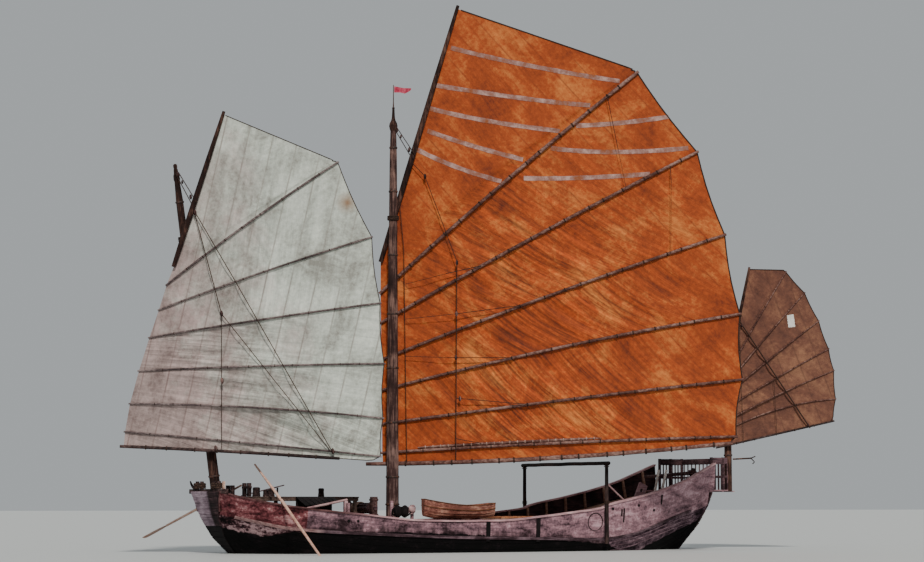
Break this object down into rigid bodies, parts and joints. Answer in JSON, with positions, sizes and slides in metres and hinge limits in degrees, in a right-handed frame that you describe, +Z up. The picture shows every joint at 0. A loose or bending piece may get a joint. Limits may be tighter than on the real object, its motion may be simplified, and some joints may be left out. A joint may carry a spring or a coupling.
{
  "type": "chinese junk ship",
  "caption": "Wooden sailing junk with battened lug sails on unstayed masts, a high stern with a gallery, a raked rudder, sweeps and a ship's boat.",
  "frame": {"origin": "on the centreline at the waterline, amidships", "axes": "+X towards the bow, +Y to port, +Z up; z = 0 is the water's surface"},
  "size_m": [30.5689, 16.5919, 24.7885],
  "materials": {
    "hull": "tarred and weathered planks",
    "topside": "weathered paint on planks",
    "rail": "bare weathered wood",
    "deck": "bare worn planks",
    "spar": "dark oiled wood",
    "batten": "rough poles",
    "main_cloth": "tanned canvas",
    "fore_cloth": "bleached canvas",
    "mizzen_cloth": "dark tanned canvas",
    "boat": "varnished planks",
    "oar": "bare wood",
    "flag": "plain bunting"
  },
  "bodies": {
    "ship": {"boat_chocks": "deck", "bow_beam": "spar", "bow_planks": "topside", "bulwark_port": "topside", "bulwark_starboard": "topside", "flagstaff": "spar", "fore_mast": "spar", "fore_platform": "deck", "gallery_floor": "deck", "gallery_rail": "rail", "gallows": "spar", "hatch_boards": "deck", "hatch_coaming": "deck", "hull_body": "hull", "keel_timber": "hull", "main_mast": "spar", "mizzen_mast": "spar", "pennant": "flag", "ship_boat": "boat", "stern_planks": "topside", "wale_port": "rail", "wale_starboard": "rail", "windlass_bitts": "spar"},
    "main_sail_rig": {"main_batten_1": "batten", "main_batten_2": "batten", "main_batten_3": "batten", "main_batten_4": "batten", "main_batten_5": "batten", "main_batten_6": "batten", "main_boom": "batten", "main_sail": "main_cloth", "main_yard": "spar"},
    "fore_sail_rig": {"fore_batten_1": "batten", "fore_batten_2": "batten", "fore_batten_3": "batten", "fore_batten_4": "batten", "fore_batten_5": "batten", "fore_batten_6": "batten", "fore_boom": "batten", "fore_sail": "fore_cloth", "fore_yard": "spar"},
    "mizzen_sail_rig": {"mizzen_batten_1": "batten", "mizzen_batten_2": "batten", "mizzen_batten_3": "batten", "mizzen_batten_4": "batten", "mizzen_batten_5": "batten", "mizzen_batten_6": "batten", "mizzen_boom": "batten", "mizzen_sail": "mizzen_cloth", "mizzen_yard": "spar"},
    "rudder_gear": {"rudder": "hull", "tiller": "spar"},
    "windlass": {"windlass_barrel": "spar"},
    "port_sweep": {"sweep_port": "oar"},
    "starboard_sweep": {"sweep_starboard": "oar"}
  },
  "joints": [
    {"name": "main_sail_swing", "type": "hinge", "parent": "ship", "child": "main_sail_rig", "pos_m": [3.24, 0, 5], "axis": [0, 0, 1], "range_deg": [-45, 105]},
    {"name": "fore_sail_swing", "type": "hinge", "parent": "ship", "child": "fore_sail_rig", "pos_m": [10.96, 0, 2.1], "axis": [0.1459, 0, 0.9893], "range_deg": [-45, 105]},
    {"name": "mizzen_sail_swing", "type": "hinge", "parent": "ship", "child": "mizzen_sail_rig", "pos_m": [-12.18, 1.74, 5], "axis": [0, 0, 1], "range_deg": [-45, 105]},
    {"name": "rudder_turn", "type": "hinge", "parent": "ship", "child": "rudder_gear", "pos_m": [-10.95, 0, 1.1], "axis": [-0.2696, 0, 0.963], "range_deg": [-35, 35]},
    {"name": "windlass_turn", "type": "hinge", "parent": "ship", "child": "windlass", "pos_m": [4.7, 0, 1.75], "axis": [0, 1, 0], "continuous": true},
    {"name": "port_sweep_swing", "type": "hinge", "parent": "ship", "child": "port_sweep", "pos_m": [9.45, 2.6, 2.06], "axis": [0, 0, 1], "range_deg": [-25, 25]},
    {"name": "starboard_sweep_swing", "type": "hinge", "parent": "ship", "child": "starboard_sweep", "pos_m": [9.9, -2.38, 2.13], "axis": [0, 0, 1], "range_deg": [-25, 25]}
  ]
}
